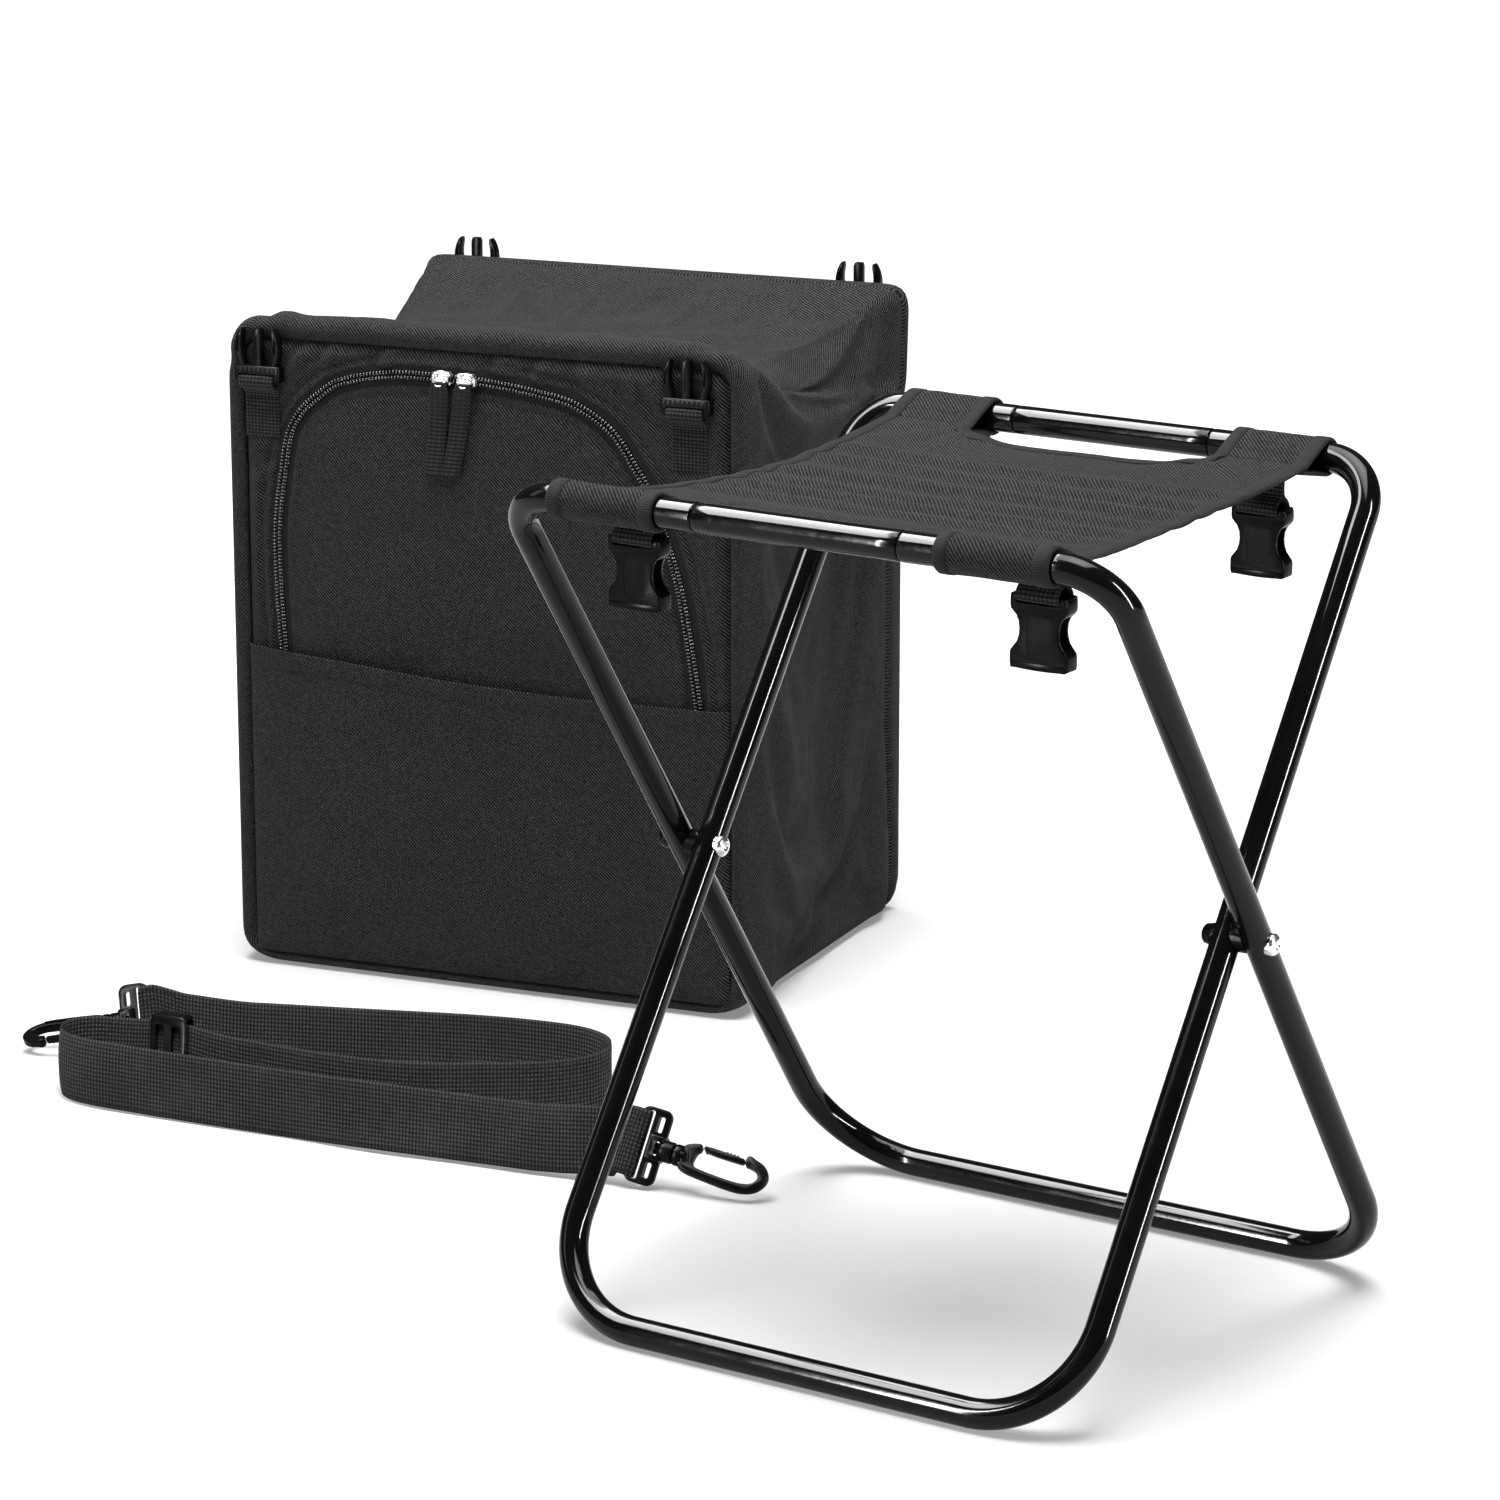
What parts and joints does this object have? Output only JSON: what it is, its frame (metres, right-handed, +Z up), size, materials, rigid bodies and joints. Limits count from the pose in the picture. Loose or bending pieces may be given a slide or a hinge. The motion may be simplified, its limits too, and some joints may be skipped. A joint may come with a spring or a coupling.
{
  "type": "folding cooler stool",
  "caption": "X-frame folding stool with a fabric sling seat, the insulated bag that buckles under it, and the shoulder strap, laid out side by side.",
  "frame": {"origin": "on the floor, at the middle of the whole set's footprint", "axes": "+X along the stool's rails to the stool's right, +Y to the back, +Z up"},
  "size_m": [0.965, 0.8018, 0.4624],
  "materials": {
    "enamel_black": "glossy black enamel on steel tube",
    "bright_steel": "bright zinc-plated steel",
    "moulded_black": "semi-matt moulded acetal and nylon",
    "cloth_charcoal": "padded polyester twill",
    "webbing_black": "ribbed polypropylene webbing and zip tape",
    "foil_liner": "silver PEVA lining",
    "board_grey": "stiff plastic base board"
  },
  "bodies": {
    "outer_frame": {"outer_frame_tube": "enamel_black", "outer_grip_rail": "enamel_black", "pivot_bolt_right": "bright_steel", "pivot_nut_right": "moulded_black", "pivot_spacer_right": "moulded_black", "pivot_bolt_left": "bright_steel", "pivot_nut_left": "moulded_black", "pivot_spacer_left": "moulded_black", "seat_panel": "cloth_charcoal", "seat_sleeve_front_left": "cloth_charcoal", "seat_sleeve_front_right": "cloth_charcoal", "socket_tab_front_left": "webbing_black", "socket_tab_front_right": "webbing_black"},
    "inner_frame": {"inner_frame_tube": "enamel_black", "inner_grip_rail": "enamel_black", "seat_sleeve_back_left": "cloth_charcoal", "seat_sleeve_back_right": "cloth_charcoal", "socket_tab_back_left": "webbing_black", "socket_tab_back_right": "webbing_black"},
    "cooler_bag": {"bag_base": "cloth_charcoal", "bag_roof": "cloth_charcoal", "bag_front_panel": "cloth_charcoal", "bag_back_panel": "cloth_charcoal", "bag_left_panel": "cloth_charcoal", "bag_right_panel": "cloth_charcoal", "bag_liner": "foil_liner", "base_board": "board_grey", "slip_pocket": "cloth_charcoal", "zip_tape_outer": "webbing_black", "plug_tab_front_left": "webbing_black", "plug_tab_front_right": "webbing_black", "plug_tab_back_left": "webbing_black", "plug_tab_back_right": "webbing_black", "ring_tab_left": "webbing_black", "ring_tab_right": "webbing_black"},
    "front_door": {"front_door": "cloth_charcoal", "zip_tape_inner": "webbing_black"},
    "shoulder_strap": {"strap_webbing": "webbing_black", "hook_frame_right": "moulded_black", "hook_frame_left": "moulded_black"},
    "strap_glide": {"strap_glide": "moulded_black"},
    "socket_front_left": {"buckle_socket_front_left": "moulded_black"},
    "socket_front_right": {"buckle_socket_front_right": "moulded_black"},
    "socket_back_left": {"buckle_socket_back_left": "moulded_black"},
    "socket_back_right": {"buckle_socket_back_right": "moulded_black"},
    "zip_slider_left": {"zip_slider_left": "bright_steel"},
    "zip_pull_left": {"zip_pull_left": "webbing_black"},
    "zip_slider_right": {"zip_slider_right": "bright_steel"},
    "zip_pull_right": {"zip_pull_right": "webbing_black"},
    "plug_front_left": {"buckle_plug_front_left": "moulded_black"},
    "plug_front_right": {"buckle_plug_front_right": "moulded_black"},
    "plug_back_left": {"buckle_plug_back_left": "moulded_black"},
    "plug_back_right": {"buckle_plug_back_right": "moulded_black"},
    "ring_left": {"strap_ring_left": "moulded_black"},
    "ring_right": {"strap_ring_right": "moulded_black"},
    "hook_right": {"snap_hook_right": "moulded_black"},
    "gate_right": {"hook_gate_right": "moulded_black"},
    "hook_left": {"snap_hook_left": "moulded_black"},
    "gate_left": {"hook_gate_left": "moulded_black"}
  },
  "joints": [
    {"name": "frame_fold", "type": "hinge", "parent": "outer_frame", "child": "inner_frame", "pos_m": [0.29133, -0.23303, 0.23], "axis": [1, 0, 0], "range_deg": [0, 65], "deforming": ["seat_panel"]},
    {"name": "socket_swing_front_left", "type": "hinge", "parent": "outer_frame", "child": "socket_front_left", "pos_m": [0.17033, -0.35603, 0.432], "axis": [1, 0, 0], "range_deg": [-50, 50]},
    {"name": "socket_swing_front_right", "type": "hinge", "parent": "outer_frame", "child": "socket_front_right", "pos_m": [0.41233, -0.35603, 0.432], "axis": [1, 0, 0], "range_deg": [-50, 50]},
    {"name": "socket_swing_back_left", "type": "hinge", "parent": "inner_frame", "child": "socket_back_left", "pos_m": [0.19933, -0.07553, 0.424], "axis": [1, 0, 0], "range_deg": [-50, 50]},
    {"name": "socket_swing_back_right", "type": "hinge", "parent": "inner_frame", "child": "socket_back_right", "pos_m": [0.38333, -0.07553, 0.424], "axis": [1, 0, 0], "range_deg": [-50, 50]},
    {"name": "bag_lift", "type": "slide", "parent": "outer_frame", "child": "cooler_bag", "axis": [0, 0, 1], "range_m": [0, 0.3]},
    {"name": "door_fold", "type": "hinge", "parent": "cooler_bag", "child": "front_door", "pos_m": [-0.25357, 0.07227, 0.21375], "axis": [0.9816, 0.1908, 0], "range_deg": [0, 150]},
    {"name": "zip_run_left", "type": "slide", "parent": "front_door", "child": "zip_slider_left", "axis": [-0.9816, -0.1908, 0], "range_m": [0, 0.03]},
    {"name": "pull_swing_left", "type": "hinge", "parent": "zip_slider_left", "child": "zip_pull_left", "pos_m": [-0.27944, 0.06907, 0.401], "axis": [-0.9816, -0.1908, 0], "range_deg": [0, 100]},
    {"name": "zip_run_right", "type": "slide", "parent": "front_door", "child": "zip_slider_right", "axis": [0.9776, 0.19, -0.09], "range_m": [0, 0.03]},
    {"name": "pull_swing_right", "type": "hinge", "parent": "zip_slider_right", "child": "zip_pull_right", "pos_m": [-0.26275, 0.07232, 0.401], "axis": [-0.9816, -0.1908, 0], "range_deg": [0, 100]},
    {"name": "plug_swing_front_left", "type": "hinge", "parent": "cooler_bag", "child": "plug_front_left", "pos_m": [-0.40674, 0.0479, 0.388], "axis": [0.9816, 0.1908, 0], "range_deg": [0, 120]},
    {"name": "plug_swing_front_right", "type": "hinge", "parent": "cooler_bag", "child": "plug_front_right", "pos_m": [-0.11421, 0.10476, 0.388], "axis": [0.9816, 0.1908, 0], "range_deg": [0, 120]},
    {"name": "plug_swing_back_left", "type": "hinge", "parent": "cooler_bag", "child": "plug_back_left", "pos_m": [-0.44917, 0.33956, 0.405], "axis": [-0.9816, -0.1908, 0], "range_deg": [0, 120]},
    {"name": "plug_swing_back_right", "type": "hinge", "parent": "cooler_bag", "child": "plug_back_right", "pos_m": [-0.17235, 0.39337, 0.405], "axis": [-0.9816, -0.1908, 0], "range_deg": [0, 120]},
    {"name": "ring_swing_left", "type": "hinge", "parent": "cooler_bag", "child": "ring_left", "pos_m": [-0.47297, 0.26444, 0.3035], "axis": [-0.1908, 0.9816, 0], "range_deg": [0, 110]},
    {"name": "ring_swing_right", "type": "hinge", "parent": "cooler_bag", "child": "ring_right", "pos_m": [-0.12214, 0.33263, 0.3035], "axis": [0.1908, -0.9816, 0], "range_deg": [0, 110]},
    {"name": "strap_lift", "type": "slide", "parent": "outer_frame", "child": "shoulder_strap", "axis": [0, 0, 1], "range_m": [0, 0.06]},
    {"name": "glide_run", "type": "slide", "parent": "shoulder_strap", "child": "strap_glide", "axis": [0.9925, 0.1218, 0], "range_m": [-0.012, 0.012]},
    {"name": "hook_swivel_right", "type": "hinge", "parent": "shoulder_strap", "child": "hook_right", "pos_m": [0.04244, -0.17507, 0.0242], "axis": [0.9667, 0.1879, -0.1736], "continuous": true},
    {"name": "gate_press_right", "type": "hinge", "parent": "hook_right", "child": "gate_right", "pos_m": [0.07914, -0.16158, 0.0231], "axis": [-0.2544, 0.6322, -0.7319], "range_deg": [0, 20], "stiffness_Nm_per_rad": 0.03, "springref_deg": -11.46},
    {"name": "hook_swivel_left", "type": "hinge", "parent": "shoulder_strap", "child": "hook_left", "pos_m": [-0.34996, -0.14941, 0.0245], "axis": [-0.9004, -0.3822, -0.2079], "continuous": true},
    {"name": "gate_press_left", "type": "hinge", "parent": "hook_left", "child": "gate_left", "pos_m": [-0.38078, -0.17135, 0.01457], "axis": [0.0912, 0.3015, -0.9491], "range_deg": [0, 20], "stiffness_Nm_per_rad": 0.03, "springref_deg": -11.46}
  ]
}
